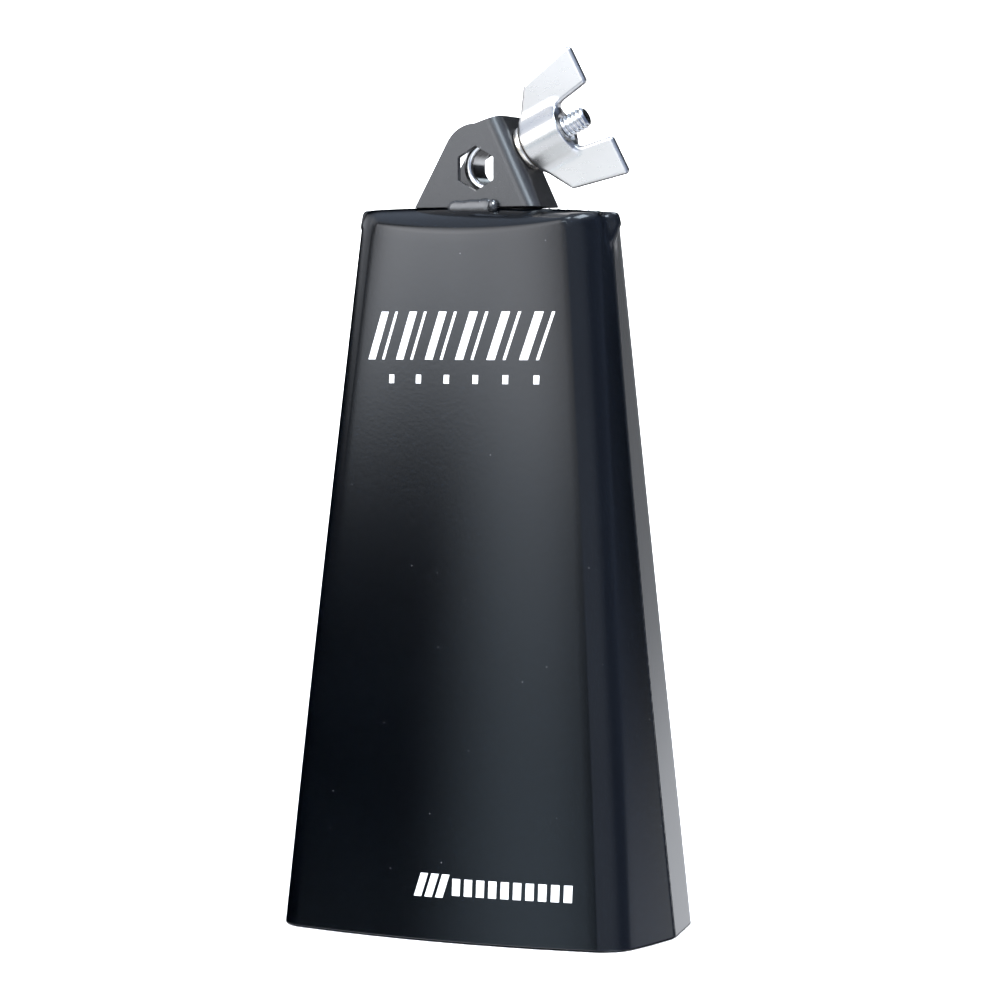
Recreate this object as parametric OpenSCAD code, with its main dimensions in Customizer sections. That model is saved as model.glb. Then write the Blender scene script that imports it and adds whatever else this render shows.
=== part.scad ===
// Cowbell with a clamp bracket for a stand rod.
// Millimetres, +Z up. The origin is the centre of the mouth, in the plane of the rim.
// The front face looks along -Y and the wing nut is on the +X side.

/* [Bell] */
// Height of the ridge above the mouth
bell_h = 202.5; // [150:0.5:230]
// Half width of the mouth, at the side seams
mouth_seam_x = 57.4; // [50:0.1:65]
// Half width of the top, at the side seams
top_seam_x = 37.2; // [33:0.2:42]
// Half width of the front face at the mouth
mouth_front_x = 51.9; // [48:0.1:54]
// Half width of the back face at the mouth
mouth_back_x = 51.8; // [48:0.1:54]
// Half width of the front face at the top
top_front_x = 35.3; // [32:0.1:37]
// Half width of the back face at the top
top_back_x = 36.3; // [32:0.1:37]
// Outward bow of the front face's side edges, half way up
edge_bow = 0.65; // [0:0.05:1]
// Depth from the seam to a corner at the mouth
mouth_corner_y = 27.7; // [22:0.1:30]
// Depth from the seam to a corner at the top
top_corner_y = 11.5; // [9:0.1:13]
// How far the middle of each face bulges out past its corners
face_bulge = 5.5; // [3:0.1:7]
// Corner radius, measured along each wall
corner_r = 6; // [4:0.5:7]
// Sheet thickness
sheet = 1.2; // [0.9:0.1:1.6]
// Outward bow of the front shell's flanges
flange_bow = 0.7; // [0:0.1:1]
// Inward bow of the seams, half way up
seam_bow = 0.9; // [0:0.1:1.2]

/* [Top] */
// Height of the bend between face and top, at the middle of the face
crease_mid_z = 195.8; // [190:0.2:198]
// Height of that bend at the corners
crease_end_z = 199.6; // [197:0.2:201]
// How far the ridge curves down from the middle to its ends
ridge_fall = 1; // [0.5:0.1:2]
// Slope of the ridge, down towards the wing nut's side, as height lost for each unit across
ridge_slope = 0.018; // [0:0.002:0.02]
// How far the pinched corner ears stand out past the side seams
ear_out = 2.8; // [1:0.1:4]
// Half length of the ridge, to the tips of the ears
ridge_x = 38; // [36:0.1:39]

/* [Seam welds] */
// Width of the welded gap between the two shells
weld_w = 0.8; // [0.5:0.1:1.2]
// How far the weld stands proud of the sheet
weld_proud = 0.25; // [0.1:0.05:0.5]

/* [Bracket] */
// Bracket sheet thickness
bracket_t = 2; // [1.5:0.1:3]
// Half depth over the two ears
bracket_y = 9; // [8:0.5:11]
// Outer bend radius
bend_r = 4; // [3:0.5:5]
// Height of the bracket's foot above the mouth
foot_z = 202.4; // [202.4:0.1:204]
// Left end of an ear's foot
foot_left_x = -18.8; // [-20:0.1:-15]
// Radius of the round at an ear's upper left
ear_round_r = 9.7; // [9:0.1:10.2]
// Height of the top edge of the web
web_top_z = 227.9; // [227:0.1:230]
// Distance across the flats of the hexagonal rod holes
hex_flats = 10.9; // [10.8:0.1:12]
// Centre of the rod holes, across
hex_x = 0.15; // [0:0.05:0.5]
// Centre of the rod holes, height
hex_z = 213.1; // [213:0.1:214]

/* [Clamp bolt] */
// Tilt of the bolt's axis above level, in degrees
bolt_tilt = 25.5; // [24:0.5:27]
// Distance from the rod holes' centre to the eye's centre, along the bolt
eye_offset = 2.2; // [1:0.1:2.4]
// Radius of the eye's bore
eye_bore_r = 5.2; // [5:0.05:5.3]
// Outer radius of the eye
eye_outer_r = 7.8; // [7.6:0.1:9]
// Thickness of the eye, along the rod
eye_t = 9.6; // [4:0.1:10]
// Rounding of the eye's edges
eye_edge_r = 1.2; // [0.8:0.1:1.4]
// Diameter of the threaded shank
shank_d = 6.35; // [6:0.05:6.5]
// Thread pitch: how far the eye moves in one turn of the nut, and the length of the end chamfer
thread_pitch = 1.27; // [1:0.01:1.3]
// Radial running clearance between shank and nut
nut_clearance = 0.05; // [0.02:0.01:0.1]

/* [Washer and wing nut] */
// Washer outer diameter
washer_d = 13; // [12:0.5:16]
// Washer thickness
washer_t = 1.6; // [1:0.1:1.6]
// Hub diameter of the wing nut
hub_d = 12.6; // [11:0.2:14]
// Hub length
hub_l = 12; // [10:0.5:14]
// Height of a wing's outer corner above the bolt's axis
wing_r = 19.8; // [17:0.2:22]
// Distance of a wing's far edge from the hub's base
wing_l = 23.3; // [20:0.1:26]
// Wing thickness
wing_t = 2.8; // [2:0.1:3.5]
// Turn of the wings about the bolt's axis, in degrees
wing_turn = 5; // [0:1:10]

/* [Print] */
// Thickness of the printed marks
ink_t = 0.12; // [0.05:0.01:0.2]
// Slant of the printed bars, across for each unit of height
ink_slant = 0.3; // [0:0.05:0.5]

/* [Hidden] */
$fn = 64;

// Shares of a column's height at which the wall has a row of points
wall_rows = [0, 0.2, 0.4, 0.6, 0.8, 0.955, 0.98, 1];
// Steps from the top bend to the ridge
top_steps = 5;
// Steps along a flange, round a corner and over half a face
flange_steps = 3;
corner_steps = 5;
face_steps = 5;
// Weight that makes a square corner's curve a circular arc
arc_weight = cos(45);
// The top falls from the ridge as this power of the distance from it
top_power = 3.5;
// The ridge's length as a share of the top's width
ridge_share = 0.975;
// Height where the pinched ears start to flare out, and their fall below the bend
ear_start_z = 191;
ear_drop = 1.5;
// Clearance left between parts that only touch
gap = 0.05;
overrun = 1;

eye_x = hex_x + eye_offset * cos(bolt_tilt);
eye_z = hex_z + eye_offset * sin(bolt_tilt);
eye_to_web = eye_outer_r + 0.47;
web_outer_u = eye_to_web + bracket_t;
washer_u = web_outer_u + gap;
hub_u = washer_u + washer_t + 4 * gap;
shank_end_u = hub_u + hub_l + 7;
shank_root_u = eye_bore_r + 1.4;
shank_tip = thread_pitch;
web_hole_r = shank_d / 2 + 0.4;
washer_hole_r = shank_d / 2 + 0.3;

// What differs between the two halves of the bell: half widths of the face at the mouth and
// the top, bow of the flanges and bow of the side edges
MOUTH = 0;
TOP = 1;
FLANGE = 2;
EDGE = 3;
FRONT = [mouth_front_x, top_front_x, flange_bow, edge_bow];
BACK = [mouth_back_x, top_back_x, 0, 0];

function lerp(a, b, t) = a + (b - a) * t;
function smooth(t) = let (c = min(1, max(0, t))) c * c * (3 - 2 * c);

// The bell's section at a height share t, for the outer (inset 0) or inner surface
function seam_x(t, inset) =
    lerp(mouth_seam_x, top_seam_x, t) - 4 * seam_bow * t * (1 - t) - inset;
function face_x(t, inset, half) =
    lerp(half[MOUTH], half[TOP], t) + 4 * half[EDGE] * t * (1 - t) - inset;
function corner_y(t, inset) = lerp(mouth_corner_y, top_corner_y, t) - inset;
function face_y(x, t, inset, half) =
    corner_y(t, inset) + face_bulge * (1 - pow(x / face_x(t, inset, half), 2));
function flange_x(y, t, inset, half) =
    let (k = y / corner_y(t, inset))
    lerp(seam_x(t, inset), face_x(t, inset, half), k)
    + 4 * half[FLANGE] * (1 - t) * k * (1 - k);
function arc_point(a, c, b, u) =
    let (wa = pow(1 - u, 2), wc = 2 * arc_weight * u * (1 - u), wb = pow(u, 2))
    (wa * a + wc * c + wb * b) / (wa + wc + wb);

// Half an outline, from the seam round the corner to the middle of the face
function half_outline(t, inset, half) =
    let (
        r = corner_r - inset,
        y0 = weld_w / 2,
        y1 = corner_y(t, inset) - r,
        x1 = face_x(t, inset, half) - r,
        start = [flange_x(y1, t, inset, half), y1],
        end = [x1, face_y(x1, t, inset, half)],
        control = [face_x(t, inset, half), corner_y(t, inset)]
    )
    concat(
        [for (i = [0 : flange_steps]) let (y = lerp(y0, y1, i / flange_steps))
            [flange_x(y, t, inset, half), y]],
        [for (i = [1 : corner_steps]) arc_point(start, control, end, i / corner_steps)],
        [for (i = [1 : face_steps]) let (x = x1 * (1 - i / face_steps))
            [x, face_y(x, t, inset, half)]]);
half_count = flange_steps + corner_steps + face_steps;
columns = 2 * half_count + 1;
last_column = columns - 1;
rows = len(wall_rows) + top_steps;
function side_index(c) = c <= half_count ? c : last_column - c;
function side_sign(c) = c <= half_count ? 1 : -1;
function is_seam(c) = c == 0 || c == last_column;

// Height of the bend between face and top, and of the ridge
function crease_z(x) =
    lerp(crease_mid_z, crease_end_z, min(1, pow(x / (top_front_x - corner_r / 3), 2)));
function ridge_z(x) = bell_h - ridge_fall * pow(x / top_seam_x, 2) - ridge_slope * x;

// A point of a shell: row r up the wall and over the top, column c round the outline
function column_crease(c, inset, half) =
    crease_z(half_outline(1, inset, half)[side_index(c)][0])
    - inset - (is_seam(c) ? ear_drop : 0);
function wall_point(share, c, inset, half) =
    let (
        z = share * column_crease(c, inset, half),
        p = half_outline(z / bell_h, inset, half)[side_index(c)],
        top_z = column_crease(c, inset, half),
        flare = is_seam(c) && inset == 0
            ? ear_out * smooth((z - ear_start_z) / (top_z - ear_start_z)) : 0
    )
    [side_sign(c) * (p[0] + flare), p[1], z];
function ridge_point(c, inset, half) =
    let (x = is_seam(c) && inset == 0 ? ridge_x
        : ridge_share * half_outline(1, inset, half)[side_index(c)][0])
    [side_sign(c) * x, weld_w / 2, ridge_z(side_sign(c) * x) - inset];
function top_point(u, c, inset, half) =
    let (
        a = wall_point(1, c, inset, half),
        b = ridge_point(c, inset, half)
    )
    [lerp(a[0], b[0], u), lerp(a[1], b[1], u),
        lerp(a[2], b[2], 1 - pow(1 - u, top_power))];
function shell_point(r, c, inset, half) =
    r < len(wall_rows)
        ? wall_point(wall_rows[r], c, inset, half)
        : top_point((r - len(wall_rows) + 1) / top_steps, c, inset, half);

// Half of the bell, on the +Y side of the seam: an outer and an inner skin joined at the edges
module half_shell(half) {
    points = [for (inset = [0, sheet]) for (r = [0 : rows - 1]) for (c = [0 : last_column])
        shell_point(r, c, inset, half)];
    inner = rows * columns;
    function id(r, c) = r * columns + c;
    outer_faces = [for (r = [0 : rows - 2]) for (c = [0 : last_column - 1]) each [
        [id(r, c), id(r + 1, c + 1), id(r, c + 1)],
        [id(r, c), id(r + 1, c), id(r + 1, c + 1)]]];
    inner_faces = [for (f = outer_faces) [inner + f[0], inner + f[2], inner + f[1]]];
    function rim(a, b) = [[a, b, inner + b], [a, inner + b, inner + a]];
    mouth_rim = [for (c = [0 : last_column - 1]) each rim(id(0, c), id(0, c + 1))];
    ridge_rim = [for (c = [0 : last_column - 1]) each
        rim(id(rows - 1, c + 1), id(rows - 1, c))];
    right_rim = [for (r = [0 : rows - 2]) each rim(id(r + 1, 0), id(r, 0))];
    left_rim = [for (r = [0 : rows - 2]) each rim(id(r, last_column), id(r + 1, last_column))];
    polyhedron(points,
        concat(outer_faces, inner_faces, mouth_rim, ridge_rim, right_rim, left_rim),
        convexity = 6);
}

// Weld metal between the shells is flat in the seam's plane: an XZ outline with this width
module in_seam_plane() {
    rotate([90, 0, 0]) linear_extrude(height = weld_w, center = true) children();
}
function seam_line(c, inset, out) = [for (r = [0 : rows - 1])
    let (p = shell_point(r, c, inset, FRONT))
    [p[0] + (r < rows - 1 ? side_sign(c) * out : 0), p[2]]];
function reversed(list) = [for (i = [len(list) - 1 : -1 : 0]) list[i]];
module side_weld(c) {
    in_seam_plane()
        polygon(concat(seam_line(c, 0, weld_proud), reversed(seam_line(c, sheet, 0))));
}
function ridge_line(inset, out) = [for (c = [0 : last_column])
    let (p = ridge_point(c, inset, FRONT))
    [p[0], p[2] + (is_seam(c) ? 0 : out)]];

// The clamp bolt's frame: +X along the bolt, away from the eye, and Y along the rod
module at_bolt() {
    translate([eye_x, 0, eye_z]) rotate([0, -bolt_tilt, 0]) children();
}
module along_bolt(u) {
    translate([u, 0, 0]) rotate([0, 90, 0]) children();
}

// A rectangle with round corners made of circles, from corner a to corner b
module round_rectangle(a, b, r) {
    translate([a[0] + r, a[1]]) square([b[0] - a[0] - 2 * r, b[1] - a[1]]);
    translate([a[0], a[1] + r]) square([b[0] - a[0], b[1] - a[1] - 2 * r]);
    for (x = [a[0] + r, b[0] - r]) for (y = [a[1] + r, b[1] - r])
        translate([x, y]) circle(r);
}

// Bracket: a channel along the tilted web, cut to the outline of its ears
channel_reach = 60;
module channel() {
    translate([0, 0, -channel_reach / 2]) linear_extrude(height = channel_reach)
        difference() {
            round_rectangle([-channel_reach, -bracket_y], [web_outer_u, bracket_y], bend_r);
            round_rectangle([-channel_reach - 2 * bend_r, bracket_t - bracket_y],
                [eye_to_web, bracket_y - bracket_t], bend_r - bracket_t);
        }
}
ear_round_x = -0.1;
ear_round_z = 216;
ear_round_start = 150.7;
ear_round_end = 90;
ear_round_step = (ear_round_start - ear_round_end) / 8;
web_corner_x = 6.6;
ear_right_x = 30;
module ear_outline() {
    polygon(concat(
        [[foot_left_x, foot_z]],
        [for (a = [ear_round_start : -ear_round_step : ear_round_end])
            [ear_round_x + ear_round_r * cos(a), ear_round_z + ear_round_r * sin(a)]],
        [[web_corner_x, web_top_z], [ear_right_x, web_top_z], [ear_right_x, foot_z]]));
}
module through_ears() {
    rotate([90, 0, 0]) linear_extrude(height = 4 * bracket_y, center = true) children();
}

// Fillet weld between an ear's foot and the bell's top, on the -Y ear
weld_foot_x = 7.6;
weld_head_x = 6;
weld_middle_x = -1.2;
module ear_weld() {
    difference() {
        translate([weld_middle_x, 0, 0]) hull() {
            for (x = [-weld_foot_x, weld_foot_x])
                translate([x, -bracket_y - 0.8, foot_z - 1.6]) sphere(1.1, $fn = 24);
            for (x = [-weld_head_x, weld_head_x])
                translate([x, -bracket_y, foot_z + 1.2]) sphere(1.3, $fn = 24);
        }
        translate([-channel_reach / 2, -bracket_y, foot_z])
            cube([channel_reach, bracket_y, 2 * bracket_y]);
    }
}

// A printed patch that follows the front face, over x0..x1 and z0..z1, slanted to the right
patch_step = 4;
film_lift = 0.02;
module ink_patch(x0, x1, z0, z1, slant) {
    n = max(1, ceil((x1 - x0) / patch_step));
    m = max(1, ceil((z1 - z0) / patch_step));
    points = [for (lift = [film_lift, film_lift + ink_t]) for (i = [0 : m]) for (j = [0 : n])
        let (z = lerp(z0, z1, i / m), x = lerp(x0, x1, j / n) + slant * (z - z0))
        [x, -face_y(x, z / bell_h, 0, FRONT) - lift, z]];
    top = (m + 1) * (n + 1);
    function id(i, j) = i * (n + 1) + j;
    lower = [for (i = [0 : m - 1]) for (j = [0 : n - 1]) each [
        [id(i, j), id(i, j + 1), id(i + 1, j + 1)],
        [id(i, j), id(i + 1, j + 1), id(i + 1, j)]]];
    upper = [for (f = lower) [top + f[0], top + f[2], top + f[1]]];
    function edge(a, b) = [[b, a, top + a], [b, top + a, top + b]];
    level_edges = [for (k = [0 : n - 1]) each concat(
        edge(id(0, k), id(0, k + 1)), edge(id(m, k + 1), id(m, k)))];
    upright_edges = [for (k = [0 : m - 1]) each concat(
        edge(id(k + 1, 0), id(k, 0)), edge(id(k, n), id(k + 1, n)))];
    polyhedron(points, concat(lower, upper, level_edges, upright_edges));
}

// Wing outline in the plane of the bolt's axis: distance from the hub's base, then height
wing_root_r = hub_d / 2 - 1.5;
wing_foot = 0.3;
wing_foot_r = hub_d / 2 + 0.9;
wing_kink = 6.2;
wing_kink_r = wing_r - 3.7;
wing_inner_r = 8.3;
wing_notch = 12.7;
wing_notch_r = hub_d / 2 + 0.4;
module wing() {
    rotate([90, 0, 0]) linear_extrude(height = wing_t, center = true)
        polygon([[wing_foot, wing_root_r], [wing_foot, wing_foot_r], [wing_kink, wing_kink_r],
            [wing_l, wing_r], [wing_l, wing_inner_r], [wing_notch, wing_notch_r],
            [hub_l - wing_foot, wing_notch_r], [hub_l - wing_foot, wing_root_r]]);
}

module front_shell() {
    color([0.09, 0.09, 0.1]) mirror([0, 1, 0]) half_shell(FRONT);
}

module back_shell() {
    color([0.1, 0.1, 0.11]) half_shell(BACK);
}

module right_seam_weld() {
    color([0.07, 0.07, 0.08]) side_weld(0);
}

module left_seam_weld() {
    color([0.07, 0.07, 0.08]) side_weld(last_column);
}

module ridge_weld() {
    color([0.07, 0.07, 0.08]) in_seam_plane()
        polygon(concat(ridge_line(0, weld_proud), reversed(ridge_line(sheet, 0))));
}

module mount_bracket() {
    color([0.12, 0.12, 0.13]) difference() {
        intersection() {
            at_bolt() channel();
            through_ears() ear_outline();
        }
        translate([hex_x, 0, hex_z]) through_ears()
            rotate(90) circle(hex_flats / 2 / cos(30), $fn = 6);
        at_bolt() along_bolt(eye_to_web - overrun)
            cylinder(h = bracket_t + 2 * overrun, r = web_hole_r);
    }
}

module front_ear_weld() {
    color([0.12, 0.12, 0.13]) ear_weld();
}

module rear_ear_weld() {
    color([0.12, 0.12, 0.13]) mirror([0, 1, 0]) ear_weld();
}

// Upper print: slanted bars, wide and narrow by turns
bars_left = -29;
bars_low = 160;
bars_high = 173.3;
bar_pairs = 6;
bar_pitch = 4.75;
bar_wide = 2.4;
bar_narrow = 0.8;
module upper_print() {
    color("white") for (i = [0 : 2 * bar_pairs - 1])
        ink_patch(bars_left + i * bar_pitch,
            bars_left + i * bar_pitch + (i % 2 == 0 ? bar_wide : bar_narrow),
            bars_low, bars_high, ink_slant);
}

// Row of short dashes under the bars
dash_left = -21.5;
dash_pitch = 8.85;
dash_w = 1.6;
dash_low = 153.4;
dash_high = 155.8;
dash_count = 6;
module dash_print() {
    color("white") for (i = [0 : dash_count - 1])
        ink_patch(dash_left + i * dash_pitch, dash_left + i * dash_pitch + dash_w,
            dash_low, dash_high, 0);
}

// Lower print: three slanted bars, then a row of smaller upright blocks
badge_left = -7.5;
badge_low = 12.2;
badge_high = 18.6;
badge_bar = 2.2;
badge_pitch = 3.3;
block_left = 4.2;
block_pitch = 3.6;
block_w = 2.3;
block_low = 13;
block_high = 17.6;
block_count = 10;
module lower_print() {
    color("white") {
        for (i = [0 : 2])
            ink_patch(badge_left + i * badge_pitch, badge_left + i * badge_pitch + badge_bar,
                badge_low, badge_high, ink_slant);
        for (i = [0 : block_count - 1])
            ink_patch(block_left + i * block_pitch, block_left + i * block_pitch + block_w,
                block_low, block_high, 0);
    }
}

module eye_bolt() {
    color("silver") at_bolt() difference() {
        union() {
            rotate([90, 0, 0]) rotate_extrude() round_rectangle([eye_bore_r, -eye_t / 2],
                [eye_outer_r, eye_t / 2], eye_edge_r);
            along_bolt(shank_root_u)
                cylinder(h = shank_end_u - shank_tip - shank_root_u, r = shank_d / 2);
            along_bolt(shank_end_u - shank_tip)
                cylinder(h = shank_tip, r1 = shank_d / 2, r2 = shank_d / 2 - shank_tip);
        }
    }
}

module flat_washer() {
    color("silver") at_bolt() along_bolt(washer_u) difference() {
        cylinder(h = washer_t, r = washer_d / 2);
        translate([0, 0, -overrun]) cylinder(h = washer_t + 2 * overrun, r = washer_hole_r);
    }
}

module wing_nut() {
    color("gainsboro") at_bolt() translate([hub_u, 0, 0]) rotate([wing_turn, 0, 0])
        difference() {
            union() {
                along_bolt(0) cylinder(h = hub_l, r = hub_d / 2);
                wing();
                mirror([0, 0, 1]) wing();
            }
            along_bolt(-overrun)
                cylinder(h = hub_l + 2 * overrun, r = shank_d / 2 + nut_clearance);
        }
}

front_shell();
back_shell();
right_seam_weld();
left_seam_weld();
ridge_weld();
mount_bracket();
front_ear_weld();
rear_ear_weld();
upper_print();
dash_print();
lower_print();
eye_bolt();
flat_washer();
wing_nut();
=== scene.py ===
"""Looks for the cowbell: satin black shells, bracket, bright clamp hardware and generic white print.

Lengths are millimetres up to the moment a mesh is made. The bell's surface formulas are the ones
that shape the CAD shells, sampled finely, so each piece lies where its CAD node does. Rounded edges
and bends, the dent in the top, the thread and the uneven welds are added here.
"""
import math

import bmesh
import bpy
import numpy as np
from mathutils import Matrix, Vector


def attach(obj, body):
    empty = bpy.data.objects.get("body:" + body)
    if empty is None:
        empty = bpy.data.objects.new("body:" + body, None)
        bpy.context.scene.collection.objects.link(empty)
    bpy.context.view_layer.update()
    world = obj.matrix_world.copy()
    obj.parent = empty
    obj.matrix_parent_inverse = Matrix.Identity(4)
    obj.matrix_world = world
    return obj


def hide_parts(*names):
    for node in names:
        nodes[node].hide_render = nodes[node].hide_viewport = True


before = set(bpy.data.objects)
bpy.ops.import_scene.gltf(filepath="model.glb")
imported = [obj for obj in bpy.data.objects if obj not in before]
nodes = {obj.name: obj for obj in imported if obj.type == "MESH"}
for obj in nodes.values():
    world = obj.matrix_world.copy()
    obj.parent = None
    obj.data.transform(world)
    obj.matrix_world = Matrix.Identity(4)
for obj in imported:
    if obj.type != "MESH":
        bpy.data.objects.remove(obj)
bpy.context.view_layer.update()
scene = bpy.context.scene
MM = 0.001

# ---------------------------------------------------------------- sizes, as in the CAD model
BELL_H = 202.5
MOUTH_SEAM_X, TOP_SEAM_X, SEAM_BOW = 57.4, 37.2, 0.9
MOUTH_CORNER_Y, TOP_CORNER_Y = 27.7, 11.5
FACE_BULGE, CORNER_R, SHEET = 5.5, 6.0, 1.2
CREASE_MID_Z, CREASE_END_Z = 195.8, 199.6
RIDGE_FALL, RIDGE_SLOPE, RIDGE_X, RIDGE_SHARE, TOP_POWER = 1.0, 0.018, 38.0, 0.975, 3.5
EAR_START_Z, EAR_DROP, EAR_OUT = 191.0, 1.5, 2.8
WELD_W, WELD_PROUD = 0.8, 0.25
FRONT = {"side": -1, "mouth_x": 51.9, "top_x": 35.3, "flange_bow": 0.7, "edge_bow": 0.65}
BACK = {"side": 1, "mouth_x": 51.8, "top_x": 36.3, "flange_bow": 0.0, "edge_bow": 0.0}

BOLT_TILT = math.radians(25.5)
EYE = np.array([2.1357, 0.0, 214.0471])
EYE_BORE_R, EYE_OUTER_R, EYE_T, EYE_EDGE_R = 5.2, 7.8, 9.6, 1.2
SHANK_R, THREAD_PITCH, SHANK_END = 3.175, 1.27, 31.12
WASHER_U, WASHER_R, WASHER_HOLE_R, WASHER_T = 10.32, 6.5, 3.475, 1.6
HUB_U, HUB_R, HUB_L = 12.12, 6.3, 12.0
WING_T, WING_TURN = 2.8, math.radians(5)
WING = [(0.3, 4.8), (0.3, 7.2), (6.2, 16.1), (23.3, 19.8),
        (23.3, 8.3), (12.7, 6.7), (11.7, 6.7), (11.7, 4.8)]
FOOT_Z, BRACKET_Y = 202.4, 9.0


# ---------------------------------------------------------------- small maths
def lerp(a, b, t):
    return a + (b - a) * t


def smooth(t):
    t = np.clip(t, 0, 1)
    return t * t * (3 - 2 * t)


def bump(x, centre, half_width):
    """A smooth hump, 1 at the centre and 0 beyond the half width."""
    return smooth(1 - np.abs(x - centre) / half_width)


# ---------------------------------------------------------------- meshes
def make_piece(name, points, faces, material, body, replaces):
    """A mesh object from points in millimetres, which rides on a body and stands for CAD nodes."""
    mesh = bpy.data.meshes.new(name)
    mesh.from_pydata((np.asarray(points) * MM).tolist(), [], faces)
    mesh.update()
    mesh.shade_smooth()
    mesh.materials.append(material)
    piece = bpy.data.objects.new(name, mesh)
    scene.collection.objects.link(piece)
    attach(piece, body)
    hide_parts(*replaces)
    return piece


def grid_faces(rows, columns, closed=False, flip=False):
    """Quads between neighbouring rows and columns; closed joins the last column to the first."""
    faces = []
    for r in range(rows - 1):
        for c in range(columns if closed else columns - 1):
            d = (c + 1) % columns
            quad = [r * columns + c, r * columns + d, (r + 1) * columns + d, (r + 1) * columns + c]
            faces.append(quad[::-1] if flip else quad)
    return faces


def loft(rings):
    """Points and faces of a tube through closed rings of equal size, with both ends closed."""
    rings = np.asarray(rings)
    rows, columns = rings.shape[:2]
    faces = grid_faces(rows, columns, closed=True)
    faces.append(list(range(columns))[::-1])
    faces.append([(rows - 1) * columns + c for c in range(columns)])
    return rings.reshape(-1, 3), faces


def surface_net(distance, low, high, step):
    """Points and quads of the surface where a signed distance function is zero, in a box."""
    low = np.asarray(low, float)
    counts = np.ceil((np.asarray(high) - low) / step).astype(int) + 1
    axes = [low[i] + step * np.arange(counts[i]) for i in range(3)]
    field = distance(*np.meshgrid(*axes, indexing="ij"))
    cells = tuple(counts - 1)
    total = np.zeros(cells + (3,))
    found = np.zeros(cells)
    crossings = []
    for axis in range(3):
        ahead = [slice(None)] * 3
        behind = [slice(None)] * 3
        ahead[axis], behind[axis] = slice(1, None), slice(None, -1)
        a, b = field[tuple(behind)], field[tuple(ahead)]
        crosses = (a < 0) != (b < 0)
        share = np.where(crosses, a / np.where(crosses, a - b, 1), 0)
        crossings.append((crosses, a < 0))
        others = [i for i in range(3) if i != axis]
        for j in (0, 1):
            for k in (0, 1):
                part = [slice(None)] * 3
                part[others[0]] = slice(j, counts[others[0]] - 1 + j)
                part[others[1]] = slice(k, counts[others[1]] - 1 + k)
                hit = crosses[tuple(part)]
                found += hit
                total[..., axis] += share[tuple(part)] * hit
                total[..., others[0]] += j * hit
                total[..., others[1]] += k * hit
    used = found > 0
    corner = np.stack(np.nonzero(used), axis=1)
    points = low + step * (corner + total[used] / found[used][:, None])
    index = np.full(cells, -1)
    index[used] = np.arange(len(corner))
    faces = []
    for axis, (crosses, starts_inside) in enumerate(crossings):
        j, k = (axis + 1) % 3, (axis + 2) % 3
        at = np.stack(np.nonzero(crosses), axis=1)
        at = at[(at[:, j] > 0) & (at[:, k] > 0) & (at[:, j] < cells[j]) & (at[:, k] < cells[k])]
        ring = []
        for dj, dk in ((-1, -1), (0, -1), (0, 0), (-1, 0)):
            cell = at.copy()
            cell[:, j] += dj
            cell[:, k] += dk
            ring.append(index[tuple(cell.T)])
        quads = np.stack(ring, axis=1)
        outward = starts_inside[tuple(at.T)]
        quads[~outward] = quads[~outward][:, ::-1]
        faces.extend(quads.tolist())
    return points, faces


# ---------------------------------------------------------------- signed distances
def blend_union(a, b, size):
    """The union of two shapes, with a fillet of about that size where they meet."""
    h = np.clip(0.5 + 0.5 * (b - a) / size, 0, 1)
    return lerp(b, a, h) - size * h * (1 - h)


def round_box_2d(x, y, half_x, half_y, r):
    qx, qy = np.abs(x) - half_x + r, np.abs(y) - half_y + r
    return np.hypot(np.maximum(qx, 0), np.maximum(qy, 0)) + np.minimum(np.maximum(qx, qy), 0) - r


def polygon_2d(x, y, corners):
    """Signed distance to a closed polygon, negative inside."""
    best = np.full(np.shape(x), 1e9)
    inside = np.zeros(np.shape(x), bool)
    for (ax, ay), (bx, by) in zip(corners, corners[1:] + corners[:1]):
        ex, ey = bx - ax, by - ay
        t = np.clip(((x - ax) * ex + (y - ay) * ey) / (ex * ex + ey * ey), 0, 1)
        best = np.minimum(best, np.hypot(x - ax - t * ex, y - ay - t * ey))
        if ey:
            inside ^= ((ay > y) != (by > y)) & (x < ax + (y - ay) * ex / ey)
    return np.where(inside, -best, best)


def inset_polygon(corners, size):
    """The polygon with each side moved inwards, for corners listed clockwise."""
    moved = []
    for (px, py), (qx, qy), (rx, ry) in zip(corners[-1:] + corners, corners, corners[1:] + corners[:1]):
        a = np.array([qx - px, qy - py]) / math.hypot(qx - px, qy - py)
        b = np.array([rx - qx, ry - qy]) / math.hypot(rx - qx, ry - qy)
        cross = a[0] * b[1] - a[1] * b[0]
        moved.append((qx - size * (b[0] - a[0]) / cross, qy - size * (b[1] - a[1]) / cross))
    return moved


# ---------------------------------------------------------------- the bell's surface
# Each formula takes the height share t and an inset: 0 for the outer skin, SHEET for the inner one.
def seam_x(t, inset):
    return lerp(MOUTH_SEAM_X, TOP_SEAM_X, t) - 4 * SEAM_BOW * t * (1 - t) - inset


def face_x(t, inset, half):
    return lerp(half["mouth_x"], half["top_x"], t) + 4 * half["edge_bow"] * t * (1 - t) - inset


def corner_y(t, inset):
    return lerp(MOUTH_CORNER_Y, TOP_CORNER_Y, t) - inset


def face_y(x, t, inset, half):
    return corner_y(t, inset) + FACE_BULGE * (1 - (x / face_x(t, inset, half)) ** 2)


def flange_x(y, t, inset, half):
    k = y / corner_y(t, inset)
    return (lerp(seam_x(t, inset), face_x(t, inset, half), k)
            + 4 * half["flange_bow"] * (1 - t) * k * (1 - k))


def crease_z(x):
    return lerp(CREASE_MID_Z, CREASE_END_Z, np.minimum(1, (x / (FRONT["top_x"] - CORNER_R / 3)) ** 2))


def ridge_z(x):
    return BELL_H - RIDGE_FALL * (x / TOP_SEAM_X) ** 2 - RIDGE_SLOPE * x


EDGE_R = 0.35
SEAM_Y = WELD_W / 2 + EDGE_R


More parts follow.
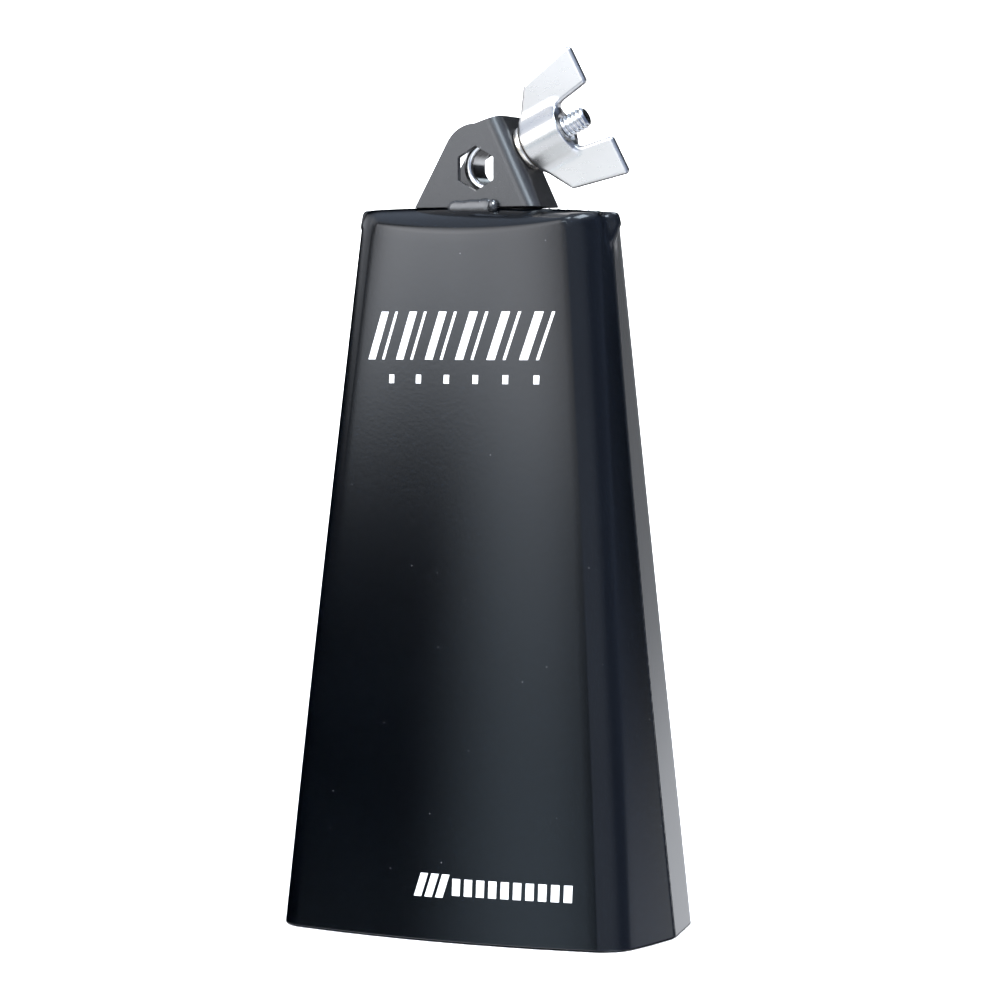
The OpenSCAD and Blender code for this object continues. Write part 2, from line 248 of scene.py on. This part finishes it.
def outline(kind, share, t, inset, half):
    """A point of the section at height share t: on the flange, round the corner or on the face."""
    radius = CORNER_R - inset
    y1 = corner_y(t, inset) - radius
    if kind == "flange":
        y = lerp(SEAM_Y, y1, share)
        return flange_x(y, t, inset, half), y
    x1 = face_x(t, inset, half) - radius
    if kind == "face":
        x = x1 * (1 - share)
        return x, face_y(x, t, inset, half)
    wa, wc, wb = (1 - share) ** 2, 2 * math.cos(math.pi / 4) * share * (1 - share), share ** 2
    weight = wa + wc + wb
    x0 = flange_x(y1, t, inset, half)
    return ((wa * x0 + wc * face_x(t, inset, half) + wb * x1) / weight,
            (wa * y1 + wc * corner_y(t, inset) + wb * face_y(x1, t, inset, half)) / weight)


def column_list():
    """Kinds and shares of the columns from a seam to the middle of a face, closest at the seam."""
    flange = [("flange", (i / 14) ** 1.4) for i in range(14)]
    corner = [("corner", i / 12) for i in range(12)]
    face = [("face", i / 18) for i in range(19)]
    return flange + corner + face


WALL_ROWS, BEND_ROWS, TOP_ROWS = 74, 10, 12
RIM_HOLD_Z = 0.6  # a row close above the rim keeps its rounding from spreading up the wall
BEND, CORNER_BEND = 1.2, 2.8  # size of the rounding between wall and top
EAR_REACH = 2.6
VALLEY, VALLEY_Y, VALLEY_HALF = 1.2, 4.4, 3.0  # the dent in the top


def shell_column(kind, share, sign, inset, half):
    """Points up one column: the wall, the rounded bend and the top as far as the ridge."""
    x_top, y_top = outline(kind, share, 1.0, inset, half)
    ear = 1 - smooth((y_top - SEAM_Y) / EAR_REACH) if kind == "flange" else 0.0
    dent = VALLEY * bump(y_top, VALLEY_Y, VALLEY_HALF) if kind != "face" else 0.0
    top_z = crease_z(x_top) - inset - EAR_DROP * ear
    flare = 0.0 if inset else EAR_OUT * ear

    def wall(z):
        x, y = outline(kind, share, z / BELL_H, inset, half)
        x = x + flare * smooth((z - EAR_START_Z) / (top_z - EAR_START_Z))
        return np.stack([sign * x, half["side"] * y, z], axis=-1)

    end_x = sign * lerp(RIDGE_SHARE * x_top, RIDGE_X - inset, ear)
    ridge = np.array([end_x, half["side"] * SEAM_Y, ridge_z(end_x) - inset])
    crease = wall(np.array([top_z]))[0]
    across = math.hypot(ridge[0] - crease[0], ridge[1] - crease[1])
    bend = min(CORNER_BEND if kind == "corner" else BEND, 0.35 * across)

    def top(u):
        u = np.asarray(u)[:, None]
        rise = 1 - (1 - u) ** TOP_POWER
        z = lerp(crease[2], ridge[2], rise) - dent * 4 * u * (1 - u)
        return np.concatenate([lerp(crease[:2], ridge[:2], u), z], axis=1)

    u0 = 0.8 * bend / across
    start, end = wall(np.array([top_z - bend]))[0], top([u0])[0]
    s = np.linspace(0, 1, BEND_ROWS + 1)[:, None]
    curve = (1 - s) ** 2 * start + 2 * s * (1 - s) * crease + s ** 2 * end
    z = np.append(EDGE_R, np.linspace(RIM_HOLD_Z, top_z - bend, WALL_ROWS + 1)[:-1])
    return np.concatenate([wall(z), curve, top(np.linspace(u0, 1, TOP_ROWS + 1)[1:])])


def skin(inset, half):
    """All columns from the right seam over the face to the left seam, as (column, row, xyz)."""
    columns = column_list()
    right = [shell_column(kind, share, 1, inset, half) for kind, share in columns]
    left = [shell_column(kind, share, -1, inset, half) for kind, share in columns[:-1]]
    return np.array(right + left[::-1])


RIM_STEPS = 6


def make_shell(name, half, material, node):
    """One pressed half of the bell: an outer and an inner skin, with a half round edge between."""
    outer, inner = skin(0.0, half), skin(SHEET, half)
    columns, rows = outer.shape[:2]
    count = columns * rows
    flip = half["side"] > 0
    faces = grid_faces(columns, rows, flip=flip)
    faces += [[count + i for i in face] for face in grid_faces(columns, rows, flip=not flip)]
    down, inward = np.array([0, 0, -1.0]), np.array([0, -float(half["side"]), 0])
    border = ([(c, 0, down) for c in range(columns)]
              + [(columns - 1, r, inward) for r in range(1, rows)]
              + [(c, rows - 1, inward) for c in range(columns - 2, -1, -1)]
              + [(0, r, inward) for r in range(rows - 2, 0, -1)])
    loops = [[c * rows + r for c, r, _ in border]]
    points = [outer.reshape(-1, 3), inner.reshape(-1, 3)]
    a = np.array([outer[c, r] for c, r, _ in border])
    b = np.array([inner[c, r] for c, r, _ in border])
    out = EDGE_R * np.array([way for _, _, way in border])
    for corner in (0, columns - 1):
        out[corner] = EDGE_R * (down + inward) / math.sqrt(2)
    for step in range(1, RIM_STEPS):
        angle = math.pi * step / RIM_STEPS
        points.append((a + b) / 2 + (a - b) / 2 * math.cos(angle) + out * math.sin(angle))
        first = 2 * count + (step - 1) * len(border)
        loops.append(list(range(first, first + len(border))))
    loops.append([count + i for i in loops[0]])
    for near, far in zip(loops, loops[1:]):
        for i, j in zip(range(len(border)), list(range(1, len(border))) + [0]):
            quad = [near[i], near[j], far[j], far[i]]
            faces.append(quad if flip else quad[::-1])
    return make_piece(name, np.concatenate(points), faces, material, "bell", [node])


# ---------------------------------------------------------------- materials
class Nodes:
    """A material's node tree with short calls for the nodes used here."""

    def __init__(self, name):
        self.material = bpy.data.materials.new(name)
        self.material.use_nodes = True
        self.tree = self.material.node_tree
        self.shader = self.tree.nodes["Principled BSDF"]
        self.place = self.tree.nodes.new("ShaderNodeTexCoord").outputs["Object"]

    def link(self, output, socket):
        self.tree.links.new(output, socket)

    def stretched(self, scale):
        node = self.tree.nodes.new("ShaderNodeMapping")
        node.inputs["Scale"].default_value = scale
        self.link(self.place, node.inputs["Vector"])
        return node.outputs["Vector"]

    def noise(self, scale, detail=2.0, place=None):
        node = self.tree.nodes.new("ShaderNodeTexNoise")
        node.inputs["Scale"].default_value = scale
        node.inputs["Detail"].default_value = detail
        self.link(place or self.place, node.inputs["Vector"])
        return node.outputs["Fac"]

    def specks(self, scale, radius):
        """Small round dots, one or none in each cell of a Voronoi pattern."""
        node = self.tree.nodes.new("ShaderNodeTexVoronoi")
        node.inputs["Scale"].default_value = scale
        self.link(self.place, node.inputs["Vector"])
        return self.span(node.outputs["Distance"], radius * 0.6, radius, 1.0, 0.0)

    def span(self, value, low, high, to_low, to_high):
        node = self.tree.nodes.new("ShaderNodeMapRange")
        for socket, number in zip(("From Min", "From Max", "To Min", "To Max"),
                                  (low, high, to_low, to_high)):
            node.inputs[socket].default_value = number
        self.link(value, node.inputs["Value"])
        return node.outputs["Result"]

    def colour(self, fac, first, second):
        node = self.tree.nodes.new("ShaderNodeMix")
        node.data_type = "RGBA"
        self.link(fac, node.inputs["Factor"])
        for socket, value in ((node.inputs[6], first), (node.inputs[7], second)):
            if isinstance(value, tuple):
                socket.default_value = value + (1.0,)
            else:
                self.link(value, socket)
        return node.outputs[2]

    def relief(self, heights):
        """Bump from (height output, depth in millimetres) pairs, one on top of the other."""
        normal = None
        for height, depth in heights:
            node = self.tree.nodes.new("ShaderNodeBump")
            node.inputs["Distance"].default_value = depth * MM
            self.link(height, node.inputs["Height"])
            if normal:
                self.link(normal, node.inputs["Normal"])
            normal = node.outputs["Normal"]
        self.link(normal, self.shader.inputs["Normal"])


def powder_coat(name, dark, light, rough, peel, shine=0.5):
    """Satin black powder coat: orange peel, fine grain, dull patches and a few dust specks."""
    n = Nodes(name)
    patches = n.noise(28.0, 3.0)
    grain = n.noise(4200.0, 2.0)
    base = n.colour(n.span(patches, 0.3, 0.7, 0.0, 1.0), dark, light)
    dotted = n.colour(n.specks(170.0, 0.028), base, (0.16, 0.16, 0.17))
    n.link(dotted, n.shader.inputs["Base Color"])
    n.link(n.span(grain, 0.3, 0.7, rough - 0.03, rough + 0.04), n.shader.inputs["Roughness"])
    n.shader.inputs["Specular IOR Level"].default_value = shine
    n.relief([(n.noise(900.0, 2.0), peel), (grain, 0.35 * peel)])
    return n.material


def plated(name, dark, light, rough, scratch_scale, scratch, uneven=0.06):
    """Bright plated metal with faint cloudiness and fine drawn scratches."""
    n = Nodes(name)
    clouds = n.noise(120.0, 3.0)
    lines = n.noise(1.0, 3.0, n.stretched(scratch_scale))
    n.link(n.colour(n.span(clouds, 0.35, 0.65, 0.0, 1.0), dark, light), n.shader.inputs["Base Color"])
    n.link(n.span(lines, 0.3, 0.7, rough - uneven, rough + uneven), n.shader.inputs["Roughness"])
    n.shader.inputs["Metallic"].default_value = 1.0
    n.relief([(lines, scratch)])
    return n.material


def ink():
    """Matt white screen print, very slightly uneven."""
    n = Nodes("white_ink")
    cover = n.noise(900.0, 3.0)
    n.link(n.colour(n.span(cover, 0.3, 0.6, 0.0, 1.0), (0.88, 0.88, 0.89), (0.94, 0.94, 0.94)),
           n.shader.inputs["Base Color"])
    n.shader.inputs["Roughness"].default_value = 0.5
    n.relief([(cover, 0.004)])
    return n.material


COAT = powder_coat("powder_coat", (0.0004, 0.0008, 0.0016), (0.0008, 0.0014, 0.0024), 0.15, 0.009)
BRACKET_COAT = powder_coat("bracket_coat", (0.010, 0.010, 0.011), (0.014, 0.014, 0.015), 0.3, 0.01,
                           shine=0.7)
BOLT_METAL = plated("bolt_plating", (0.62, 0.61, 0.6), (0.78, 0.77, 0.76), 0.2,
                    (300.0, 1500.0, 1500.0), 0.006)
WASHER_METAL = plated("washer_zinc", (0.72, 0.66, 0.58), (0.85, 0.8, 0.72), 0.24,
                      (900.0, 900.0, 900.0), 0.006)
NUT_METAL = plated("nut_plating", (0.63, 0.615, 0.6), (0.65, 0.635, 0.62), 0.28,
                   (260.0, 900.0, 1400.0), 0.0002, uneven=0.01)
WELD_COAT = powder_coat("weld_coat", (0.010, 0.010, 0.011), (0.014, 0.014, 0.015), 0.17, 0.006,
                        shine=0.8)
INK = ink()


# ---------------------------------------------------------------- welds
def make_side_weld(name, sign, node):
    """The bead that fills the gap between the shells, up one side, slightly uneven."""
    front = shell_column("flange", 0.0, sign, 0.0, FRONT)
    steps = np.linspace(0, len(front) - 1, 420)
    line = np.stack([np.interp(steps, np.arange(len(front)), front[:, i]) for i in range(3)], axis=1)
    run = np.concatenate([[0], np.cumsum(np.linalg.norm(np.diff(line, axis=0), axis=1))])
    swell = 0.55 + 0.25 * np.sin(run * 1.9) + 0.2 * np.sin(run * 4.3 + 1.3 * np.sin(run * 0.37))
    swell *= 1 - bump(line[:, 2], 50, 24)
    rings = []
    for (x, _, z), proud in zip(line, swell * WELD_PROUD):
        ring = [(x - sign * SHEET, s * WELD_W / 2, z) for s in (-1, 1)]
        for a in np.linspace(0, math.pi, 7):
            ring.append((x + sign * (proud * math.sin(a) - 0.12), WELD_W / 2 * math.cos(a), z))
        rings.append(ring if sign > 0 else ring[::-1])
    points, faces = loft(rings)
    return make_piece(name, points, faces, COAT, "bell", [node])


def make_ridge_weld():
    """The bead along the ridge, lowest at its ends."""
    xs = np.linspace(-RIDGE_X, RIDGE_X, 260)
    swell = 0.6 + 0.25 * np.sin(xs * 2.1) + 0.15 * np.sin(xs * 4.7 + 1.0)
    swell = swell * smooth((RIDGE_X - np.abs(xs)) / 4) * WELD_PROUD
    rings = []
    for x, proud in zip(xs, swell):
        z = ridge_z(x)
        ring = [(x, s * WELD_W / 2, z - SHEET) for s in (1, -1)]
        for a in np.linspace(math.pi, 0, 7):
            ring.append((x, WELD_W / 2 * math.cos(a), z - 0.1 + proud * math.sin(a)))
        rings.append(ring[::-1])
    points, faces = loft(rings)
    return make_piece("ridge_bead", points, faces, COAT, "bell", ["ridge_weld"])


BLOBS, FIRST_BLOB_X, BLOB_STEP = 7, -7.0, 1.75
DROP_X, DROP_R = 6.1, 1.4


def ear_weld_distance(x, y, z):
    """A run of overlapping blobs along an ear's foot, ending in a round drop of weld metal."""
    shape = None
    for i in range(BLOBS):
        cx = FIRST_BLOB_X + BLOB_STEP * i
        size = 1.2 + 0.05 * i + 0.12 * math.sin(2.4 * i)
        blob = np.sqrt(((x - cx) / 1.4) ** 2 + (y + BRACKET_Y - 0.4) ** 2
                       + ((z - FOOT_Z + 0.4) / 1.8) ** 2) - size
        shape = blob if shape is None else blend_union(shape, blob, 0.8)
    drop = np.sqrt((x - DROP_X) ** 2 + (y + BRACKET_Y + 1.0) ** 2
                   + ((z - FOOT_Z - 0.2) / 1.4) ** 2) - DROP_R
    return blend_union(shape, drop, 0.4)


def make_ear_weld(name, side, node):
    points, faces = surface_net(ear_weld_distance, (-12, -12.5, 198), (9, -6, 206), 0.25)
    if side > 0:
        points = points * (1, -1, 1)
        faces = [face[::-1] for face in faces]
    return make_piece(name, points, faces, WELD_COAT, "bell", [node])


# ---------------------------------------------------------------- bracket
def make_bracket():
    """The folded bracket with its sheared edges broken, its flat faces shaded flat."""
    mesh = bpy.data.meshes.new("bracket_plate")
    work = bmesh.new()
    work.from_mesh(nodes["mount_bracket"].data)
    bmesh.ops.remove_doubles(work, verts=work.verts, dist=1e-6)
    bmesh.ops.dissolve_limit(work, angle_limit=math.radians(1), verts=work.verts, edges=work.edges)
    work.to_mesh(mesh)
    work.free()
    mesh.shade_smooth()
    mesh.materials.append(BRACKET_COAT)
    plate = bpy.data.objects.new("bracket_plate", mesh)
    scene.collection.objects.link(plate)
    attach(plate, "bell")
    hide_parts("mount_bracket")
    edges = plate.modifiers.new("edges", "BEVEL")
    edges.width = 0.35 * MM
    edges.segments = 3
    edges.limit_method = "ANGLE"
    edges.angle_limit = math.radians(35)
    level = plate.modifiers.new("level", "WEIGHTED_NORMAL")
    level.weight = 100
    return plate


# ---------------------------------------------------------------- clamp hardware
def on_bolt(points, turn=0.0):
    """Points given along the bolt, along the rod and upwards, put in their place."""
    u, y, v = np.asarray(points).T
    y, v = y * math.cos(turn) - v * math.sin(turn), y * math.sin(turn) + v * math.cos(turn)
    c, s = math.cos(BOLT_TILT), math.sin(BOLT_TILT)
    return EYE + np.stack([u * c - v * s, y, u * s + v * c], axis=1)


THREAD_START = 12.0
THREAD_DEPTH = 0.62
NECK_FILLET = 0.6


def eye_bolt_distance(u, y, v):
    """Ring, filleted neck, and shank with a helical thread and a rounded end."""
    ring = round_box_2d(np.hypot(u, v) - (EYE_BORE_R + EYE_OUTER_R) / 2, y,
                        (EYE_OUTER_R - EYE_BORE_R) / 2, EYE_T / 2, EYE_EDGE_R)
    r = np.hypot(y, v)
    phase = (u - SHANK_END) / THREAD_PITCH - np.arctan2(v, y) / (2 * math.pi)
    groove = (0.5 - 0.5 * np.cos(2 * math.pi * phase)) ** 0.8
    depth = THREAD_DEPTH * smooth((u - THREAD_START) / 1.5)
    shank = (r - SHANK_R + 0.03 + depth * groove) * 0.8
    ends = round_box_2d(u - (SHANK_END + EYE_BORE_R + 1.4) / 2, r,
                        (SHANK_END - EYE_BORE_R - 1.4) / 2, SHANK_R, 1.5)
    shank = np.maximum(shank, ends)
    bore = EYE_BORE_R - np.hypot(u, v)
    return np.maximum(blend_union(ring, shank, NECK_FILLET),
                      np.where(np.abs(y) < EYE_T / 2 - EYE_EDGE_R, bore, -1.0))


def make_eye_bolt():
    points, faces = surface_net(eye_bolt_distance, (-9, -5.2, -9), (32.4, 5.2, 9), 0.17)
    return make_piece("threaded_eye_bolt", on_bolt(points), faces, BOLT_METAL,
                      "clamp_bolt", ["eye_bolt"])


WASHER_BORE_EDGE, WASHER_ROLLED_EDGE, WASHER_SIDES = 0.15, 0.55, 96


def make_washer():
    """A plain washer with a rolled outer edge and a sharper bore."""
    inner, outer, edge, rolled = WASHER_HOLE_R, WASHER_R, WASHER_BORE_EDGE, WASHER_ROLLED_EDGE
    corners = [(inner + edge, edge, edge, 180), (outer - rolled, rolled, rolled, 270),
               (outer - rolled, WASHER_T - rolled, rolled, 0), (inner + edge, WASHER_T - edge, edge, 90)]
    section = []
    for centre_r, centre_u, radius, start in corners:
        for i in range(7):
            a = math.radians(start + 15 * i)
            section.append((centre_r + radius * math.cos(a), centre_u + radius * math.sin(a)))
    rings = []
    for i in range(WASHER_SIDES):
        a = 2 * math.pi * i / WASHER_SIDES
        rings.append([(WASHER_U + u, r * math.cos(a), r * math.sin(a)) for r, u in section])
    points = np.array(rings).reshape(-1, 3)
    faces = grid_faces(WASHER_SIDES + 1, len(section), closed=True)
    faces = [[i % len(points) for i in face] for face in faces]
    return make_piece("washer_ring", on_bolt(points), faces, WASHER_METAL,
                      "washer", ["flat_washer"])


WING_CORNER_R, WING_EDGE_R, WING_ROOT_FILLET, HUB_EDGE_R = 1.1, 0.85, 3.4, 0.5


def wing_nut_distance(u, y, v):
    """Hub and two flat wings with rounded corners and edges, filleted together."""
    r = np.hypot(y, v)
    hub = round_box_2d(u - HUB_L / 2, r, HUB_L / 2, HUB_R, HUB_EDGE_R)
    flat = polygon_2d(u, np.abs(v), inset_polygon(WING, WING_CORNER_R)) - WING_CORNER_R
    qx, qy = flat + WING_EDGE_R, np.abs(y) - WING_T / 2 + WING_EDGE_R
    wings = (np.hypot(np.maximum(qx, 0), np.maximum(qy, 0)) + np.minimum(np.maximum(qx, qy), 0)
             - WING_EDGE_R)
    body = np.maximum(blend_union(hub, wings, WING_ROOT_FILLET), -u)
    bore = SHANK_R + 0.05 + 0.7 * (1 - smooth(np.minimum(u, HUB_L - u) / 0.7)) - r
    return np.maximum(body, bore)


def make_wing_nut():
    # The box is off the nut's own planes, or cells there would flip between in and out.
    points, faces = surface_net(wing_nut_distance, (-0.63, -7.25, -20.85), (24, 7.3, 20.9), 0.2)
    points = points + (HUB_U, 0, 0)
    return make_piece("cast_wing_nut", on_bolt(points, WING_TURN), faces, NUT_METAL,
                      "nut", ["wing_nut"])


# ---------------------------------------------------------------- the pieces
front_half = make_shell("front_half", FRONT, COAT, "front_shell")
back_half = make_shell("back_half", BACK, COAT, "back_shell")
make_side_weld("right_seam_bead", 1, "right_seam_weld")
make_side_weld("left_seam_bead", -1, "left_seam_weld")
make_ridge_weld()
bracket = make_bracket()
front_bead = make_ear_weld("front_ear_bead", -1, "front_ear_weld")
rear_bead = make_ear_weld("rear_ear_bead", 1, "rear_ear_weld")
eye_bolt = make_eye_bolt()
washer = make_washer()
wing_nut = make_wing_nut()
for print_name in ("upper_print", "dash_print", "lower_print"):
    printed = nodes[print_name]
    printed.data.materials.clear()
    printed.data.materials.append(INK)


# ---------------------------------------------------------------- camera
def make_camera():
    """The camera stands a little over nine tenths of a metre away, to the right of the front face."""
    data = bpy.data.cameras.new("camera")
    data.sensor_width = 36.0
    data.lens = 121.3
    data.clip_start = 0.05
    camera = bpy.data.objects.new("camera", data)
    camera.location = (0.4105, -0.8567, 0.1697)
    camera.rotation_euler = (math.radians(87.02), 0.0, math.radians(25.41))
    scene.collection.objects.link(camera)
    scene.camera = camera


make_camera()


# ---------------------------------------------------------------- studio
VIEW_TURN = math.radians(25.4)


def direction(azimuth, elevation, distance=1.0):
    """A place seen from the bell at an azimuth (0 in front, positive to the right), in metres."""
    a, e = math.radians(azimuth), math.radians(elevation)
    return Vector((math.sin(a) * math.cos(e), -math.cos(a) * math.cos(e), math.sin(e))) * distance


def soft_box(name, place, target, width, height, radiance, colour=(1, 1, 1), glossy=True):
    """An area light whose face has a given brightness, whatever its size."""
    data = bpy.data.lights.new(name, "AREA")
    data.shape = "RECTANGLE"
    data.size = width
    data.size_y = height
    data.energy = radiance * width * height * math.pi
    data.color = colour
    light = bpy.data.objects.new(name, data)
    light.location = place
    light.rotation_euler = (Vector(target) - Vector(place)).to_track_quat("-Z", "Y").to_euler()
    light.visible_glossy = glossy
    scene.collection.objects.link(light)
    return light


def only_for(light, pieces, blockers=None):
    """Let a light reach just some pieces, and be shaded by just the blockers if any are given."""
    linking = light.light_linking
    linking.receiver_collection = group(light.name + "_pieces", pieces)
    if blockers:
        linking.blocker_collection = group(light.name + "_blockers", blockers)


def group(name, pieces):
    chosen = bpy.data.collections.new(name)
    for piece in pieces:
        chosen.objects.link(piece)
    return chosen


def make_sweep():
    """A pale round paper sweep, left out of reflections: a floor that curves up into a lit wall."""
    flat, radius, high, around = 1.5, 0.6, 2.4, 72
    line = [(0.001, 0.0), (0.5, 0.0), (flat, 0.0)]
    for i in range(1, 13):
        a = math.radians(90 * i / 12)
        line.append((flat + radius * math.sin(a), radius * (1 - math.cos(a))))
    line.append((flat + radius, high))
    mesh = bpy.data.meshes.new("sweep")
    turns = np.linspace(0, 2 * math.pi, around, endpoint=False)
    verts = [(r * math.cos(a), r * math.sin(a), z - 0.0002) for r, z in line for a in turns]
    mesh.from_pydata(verts, [], grid_faces(len(line), around, closed=True))
    mesh.shade_smooth()
    sweep = bpy.data.objects.new("sweep", mesh)
    sweep.visible_glossy = False
    scene.collection.objects.link(sweep)
    n = Nodes("paper")
    split = n.tree.nodes.new("ShaderNodeSeparateXYZ")
    n.link(n.place, split.inputs["Vector"])
    n.shader.inputs["Base Color"].default_value = (0.94, 0.94, 0.94, 1)
    n.shader.inputs["Roughness"].default_value = 0.9
    n.shader.inputs["Specular IOR Level"].default_value = 0.1
    n.shader.inputs["Emission Color"].default_value = (1, 1, 1, 1)
    n.link(n.span(split.outputs["Z"], 0.0, 0.5, 0.0, 0.8), n.shader.inputs["Emission Strength"])
    mesh.materials.append(n.material)
    return sweep


def light_sweep(sweep, blockers):
    """Even soft light that reaches the paper only, so that it comes out white."""
    data = bpy.data.lights.new("paper_light", "SUN")
    data.energy = 4.6
    data.angle = math.radians(70)
    light = bpy.data.objects.new("paper_light", data)
    light.rotation_euler = (math.radians(42), 0, VIEW_TURN)
    scene.collection.objects.link(light)
    only_for(light, [sweep], blockers)


CARD_DISTANCE = 0.9
CARD_LOW, CARD_HIGH = -0.12, 1.6
CARD_LOW_TINT, CARD_HIGH_TINT = np.array([0.82, 1.02, 1.22]), np.array([0.98, 1.0, 1.06])


def card_glow(across, up):
    """Brightness of the diffuser: a wide panel above, and a dimmer upright band to its right."""
    panel = np.interp(up, [0.19, 0.225, 0.245, 0.265, 0.31, 0.36, 0.5, 0.8, 1.1, 1.6],
                      [0, 0.35, 0.95, 2.1, 3.7, 4.6, 5.2, 4.6, 3.0, 1.2])
    panel *= np.interp(across, [-0.60, -0.53, -0.46, -0.36, -0.05, 0.12, 0.44, 0.55],
                       [0, 0.4, 0.9, 1.0, 1.0, 0.65, 0.43, 0.15])
    band = 1.1 * smooth((across + 0.12) / 0.36) * (1 - 0.85 * smooth((across - 0.3) / 0.24))
    floor = 0.12 * (1 - smooth((up + 0.05) / 0.08))
    return panel + band * np.interp(up, [0.0, 0.1, 0.14, 0.18], [0.83, 0.88, 1.02, 1.26]) + floor


def make_diffuser():
    """A tall diffuser left of the camera, seen in the bell's satin coat and in the bright metal."""
    across, up = np.meshgrid(np.linspace(-0.7, 0.62, 45), np.linspace(CARD_LOW, CARD_HIGH, 87))
    mesh = bpy.data.meshes.new("diffuser")
    points = np.stack([across, np.zeros_like(across), up], axis=-1).reshape(-1, 3)
    mesh.from_pydata(points.tolist(), [], grid_faces(*across.shape))
    tint = lerp(CARD_LOW_TINT, CARD_HIGH_TINT, smooth(up / 0.42)[..., None])
    glow = mesh.attributes.new("glow", "FLOAT_VECTOR", "POINT")
    glow.data.foreach_set("vector", (card_glow(across, up)[..., None] * tint).ravel())
    card = bpy.data.objects.new("diffuser", mesh)
    card.location = direction(-25, 0, CARD_DISTANCE)
    card.rotation_euler = (0, 0, -math.radians(25))
    card.visible_camera = False
    scene.collection.objects.link(card)
    material = bpy.data.materials.new("diffuser")
    material.use_nodes = True
    tree = material.node_tree
    tree.nodes.clear()
    emission = tree.nodes.new("ShaderNodeEmission")
    amount = tree.nodes.new("ShaderNodeAttribute")
    amount.attribute_name = "glow"
    output = tree.nodes.new("ShaderNodeOutputMaterial")
    tree.links.new(amount.outputs["Vector"], emission.inputs["Color"])
    tree.links.new(emission.outputs["Emission"], output.inputs["Surface"])
    mesh.materials.append(material)


# Soft patches of the room around the bell: where each one points, the cosines between which it
# fades in, the height of a ray (its z) over which it fades in, and its colour.
ROOM = [
    (direction(0, 90), (0.45, 0.9), (-1.0, -0.9), (0.74, 0.86, 1.08)),
    (direction(32, 0), (0.6, 0.97), (-1.0, -0.9), (0.35, 0.39, 0.45)),
    (direction(25, 0), (0.72, 0.95), (-0.02, -0.12), (0.26, 0.28, 0.31)),
    (direction(70, 0), (0.1, 0.55), (-1.0, -0.9), (0.19, 0.24, 0.37)),
    (direction(-80, 0), (0.5, 0.9), (0.1, 0.13), (1.1, 1.15, 1.25)),
    (direction(180, 0), (0.94, 0.98), (-1.0, -0.9), (0.6, 0.62, 0.66)),
    (direction(180, 0), (0.9, 0.98), (-0.03, -0.1), (0.6, 0.62, 0.66)),
    (direction(140, 0), (0.8, 0.97), (0.0, -0.085), (0.72, 0.75, 0.8)),
    (direction(0, -90), (0.2, 0.6), (-1.0, -0.9), (0.12, 0.12, 0.13)),
]


def make_room():
    """The world: black, with the soft patches added."""
    world = bpy.data.worlds.new("studio")
    scene.world = world
    world.use_nodes = True
    tree = world.node_tree
    ray = tree.nodes.new("ShaderNodeTexCoord").outputs["Generated"]
    split = tree.nodes.new("ShaderNodeSeparateXYZ")
    tree.links.new(ray, split.inputs["Vector"])

    def fade(value, edges):
        node = tree.nodes.new("ShaderNodeMapRange")
        node.interpolation_type = "SMOOTHSTEP"
        node.inputs["From Min"].default_value, node.inputs["From Max"].default_value = edges
        tree.links.new(value, node.inputs["Value"])
        return node.outputs["Result"]

    total = None
    for way, cosines, heights, colour in ROOM:
        dot = tree.nodes.new("ShaderNodeVectorMath")
        dot.operation = "DOT_PRODUCT"
        dot.inputs[1].default_value = way
        tree.links.new(ray, dot.inputs[0])
        amount = tree.nodes.new("ShaderNodeMath")
        amount.operation = "MULTIPLY"
        tree.links.new(fade(dot.outputs["Value"], cosines), amount.inputs[0])
        tree.links.new(fade(split.outputs["Z"], heights), amount.inputs[1])
        patch = tree.nodes.new("ShaderNodeVectorMath")
        patch.operation = "MULTIPLY_ADD"
        patch.inputs[1].default_value = colour
        tree.links.new(amount.outputs[0], patch.inputs[0])
        if total:
            tree.links.new(total, patch.inputs[2])
        total = patch.outputs["Vector"]
    tree.links.new(total, tree.nodes["Background"].inputs["Color"])


light_sweep(make_sweep(), [front_half, back_half])
make_diffuser()
make_room()
TOP_CENTRE = Vector((0, 0, 0.22))
BLUISH, COOL, WARM = (0.78, 0.9, 1.0), (0.9, 0.95, 1.0), (1.0, 0.78, 0.5)
soft_box("rim", TOP_CENTRE + direction(16, 32, 1.1), TOP_CENTRE, 0.28, 0.3, 4.0, BLUISH)
soft_box("corner", TOP_CENTRE + direction(82, 65), TOP_CENTRE, 0.5, 0.5, 10.0, BLUISH)
soft_box("behind", TOP_CENTRE + direction(188, 30), TOP_CENTRE, 0.3, 0.2, 1.4, BLUISH)
soft_box("front_fill", direction(-10, 20, 1.4), (0, 0, 0.1), 0.8, 0.8, 2.5, glossy=False)
bracket_pieces = [bracket, front_bead, rear_bead]
only_for(soft_box("bracket_strip", TOP_CENTRE + direction(42, 31, 0.7), TOP_CENTRE, 0.25, 0.3, 9.0,
                  BLUISH), bracket_pieces)
only_for(soft_box("bracket_card", direction(-26, 0, 0.7) + Vector((0, 0, 0.19)), TOP_CENTRE,
                  0.6, 0.13, 1.5), bracket_pieces)
only_for(soft_box("weld_glint", TOP_CENTRE + direction(30, 35, 0.8), TOP_CENTRE, 0.4, 0.4, 32.0,
                  BLUISH), [front_bead, rear_bead])
metal_pieces = [eye_bolt, washer, wing_nut]
only_for(soft_box("hub_fill", Vector((0.018, -0.035, 0.17)), Vector((0.018, 0, 0.228)), 0.14, 0.09,
                  1.0, COOL), metal_pieces, [wing_nut])
only_for(soft_box("metal_card", direction(-20, 0, 0.7) + Vector((0, 0, 0.12)), TOP_CENTRE, 0.6, 0.1,
                  0.45, WARM), metal_pieces)
scene.view_settings.view_transform = "Standard"
